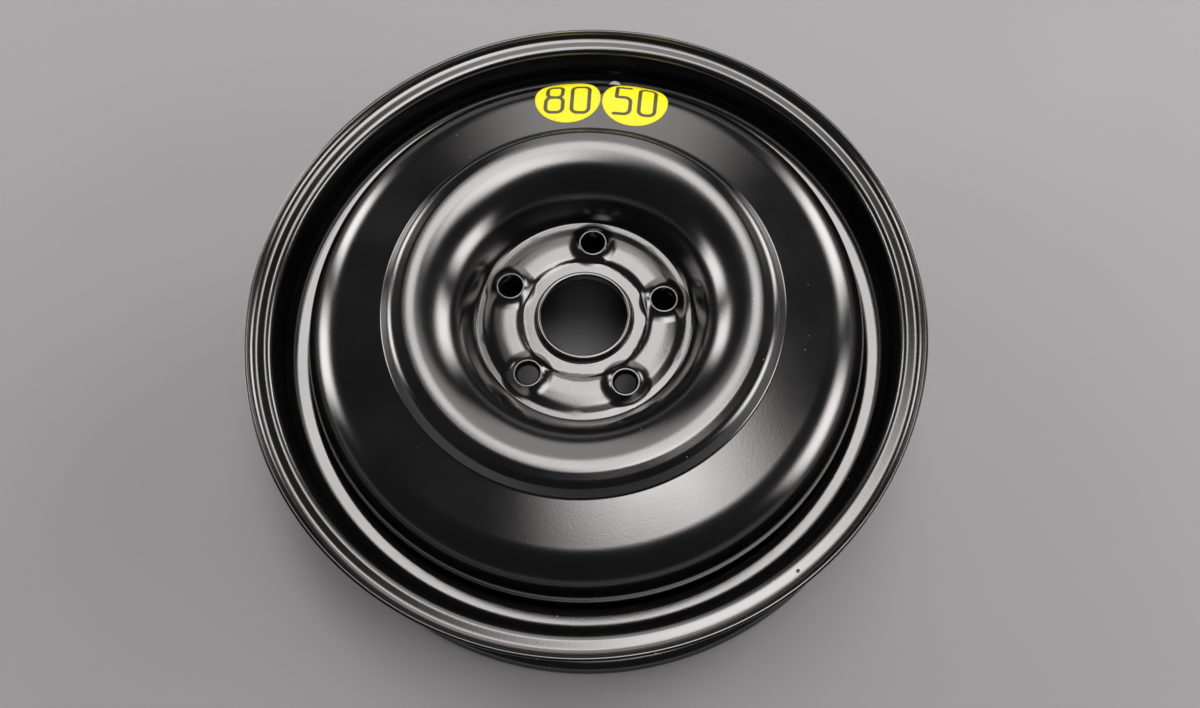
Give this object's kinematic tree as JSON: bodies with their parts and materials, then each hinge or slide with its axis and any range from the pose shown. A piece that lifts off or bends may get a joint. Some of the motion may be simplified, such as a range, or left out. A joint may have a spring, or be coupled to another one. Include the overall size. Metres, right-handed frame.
{
  "type": "space saver spare wheel",
  "caption": "Narrow pressed-steel temporary car wheel: drop-centre rim, deep bowled centre disc with raised lug seats and a turned-up hub bore, round number stickers, lying street side up.",
  "frame": {"origin": "on the wheel axis, in the plane of the inner lip that the wheel lies on", "axes": "+Z along the wheel axis towards the street side, +Y towards the valve hole, +X to the right of it"},
  "size_m": [0.465, 0.465, 0.1376],
  "materials": {
    "wheel_paint": "satin black paint",
    "sticker_film": "gloss yellow film"
  },
  "bodies": {
    "root": {"rim": "wheel_paint", "disc": "wheel_paint", "disc_welds": "wheel_paint", "sticker_80": "sticker_film", "sticker_50": "sticker_film"}
  },
  "joints": []
}
